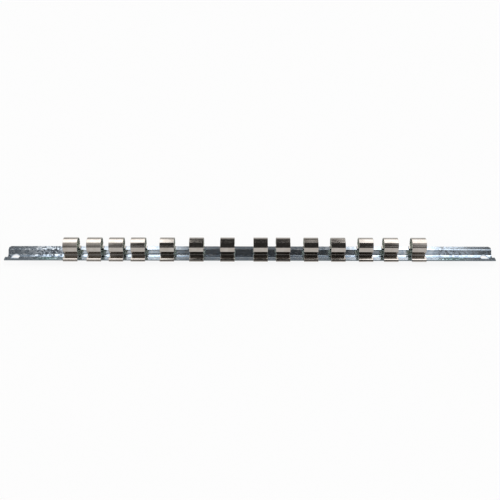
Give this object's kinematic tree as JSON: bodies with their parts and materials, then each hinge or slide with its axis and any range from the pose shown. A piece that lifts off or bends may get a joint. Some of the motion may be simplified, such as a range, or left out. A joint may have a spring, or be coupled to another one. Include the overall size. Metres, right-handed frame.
{
  "type": "socket rail",
  "caption": "Pressed steel channel rail with hooked spring clips that slide along it and hold square-drive sockets.",
  "frame": {"origin": "middle of the underside of the rail's channel floor, the face that lies on the wall or bench", "axes": "+X along the rail, +Z out of the wall towards the clips' crowns, -Y the front lip"},
  "size_m": [0.4, 0.022, 0.0184],
  "materials": {
    "zinc_plated_steel": "bright zinc plate with a faint spangle",
    "nickel_plated_steel": "bright warm nickel plate"
  },
  "bodies": {
    "rail": {"rail": "zinc_plated_steel"},
    "clip_01": {"clip_01": "nickel_plated_steel"},
    "clip_02": {"clip_02": "nickel_plated_steel"},
    "clip_03": {"clip_03": "nickel_plated_steel"},
    "clip_04": {"clip_04": "nickel_plated_steel"},
    "clip_05": {"clip_05": "nickel_plated_steel"},
    "clip_06": {"clip_06": "nickel_plated_steel"},
    "clip_07": {"clip_07": "nickel_plated_steel"},
    "clip_08": {"clip_08": "nickel_plated_steel"},
    "clip_09": {"clip_09": "nickel_plated_steel"},
    "clip_10": {"clip_10": "nickel_plated_steel"},
    "clip_11": {"clip_11": "nickel_plated_steel"},
    "clip_12": {"clip_12": "nickel_plated_steel"},
    "clip_13": {"clip_13": "nickel_plated_steel"},
    "clip_14": {"clip_14": "nickel_plated_steel"}
  },
  "joints": [
    {"name": "clip_01_slide", "type": "slide", "parent": "rail", "child": "clip_01", "axis": [1, 0, 0], "range_m": [-0.0354, 0.0035]},
    {"name": "clip_02_slide", "type": "slide", "parent": "rail", "child": "clip_02", "axis": [1, 0, 0], "range_m": [-0.0035, 0.0029]},
    {"name": "clip_03_slide", "type": "slide", "parent": "rail", "child": "clip_03", "axis": [1, 0, 0], "range_m": [-0.0029, 0.0027]},
    {"name": "clip_04_slide", "type": "slide", "parent": "rail", "child": "clip_04", "axis": [1, 0, 0], "range_m": [-0.0027, 0.0057]},
    {"name": "clip_05_slide", "type": "slide", "parent": "rail", "child": "clip_05", "axis": [1, 0, 0], "range_m": [-0.0057, 0.0059]},
    {"name": "clip_06_slide", "type": "slide", "parent": "rail", "child": "clip_06", "axis": [1, 0, 0], "range_m": [-0.0059, 0.0065]},
    {"name": "clip_07_slide", "type": "slide", "parent": "rail", "child": "clip_07", "axis": [1, 0, 0], "range_m": [-0.0065, 0.0074]},
    {"name": "clip_08_slide", "type": "slide", "parent": "rail", "child": "clip_08", "axis": [1, 0, 0], "range_m": [-0.0074, 0.003]},
    {"name": "clip_09_slide", "type": "slide", "parent": "rail", "child": "clip_09", "axis": [1, 0, 0], "range_m": [-0.003, 0.0052]},
    {"name": "clip_10_slide", "type": "slide", "parent": "rail", "child": "clip_10", "axis": [1, 0, 0], "range_m": [-0.0052, 0.0049]},
    {"name": "clip_11_slide", "type": "slide", "parent": "rail", "child": "clip_11", "axis": [1, 0, 0], "range_m": [-0.0049, 0.0051]},
    {"name": "clip_12_slide", "type": "slide", "parent": "rail", "child": "clip_12", "axis": [1, 0, 0], "range_m": [-0.0051, 0.0041]},
    {"name": "clip_13_slide", "type": "slide", "parent": "rail", "child": "clip_13", "axis": [1, 0, 0], "range_m": [-0.0041, 0.0052]},
    {"name": "clip_14_slide", "type": "slide", "parent": "rail", "child": "clip_14", "axis": [1, 0, 0], "range_m": [-0.0052, 0.0439]}
  ]
}
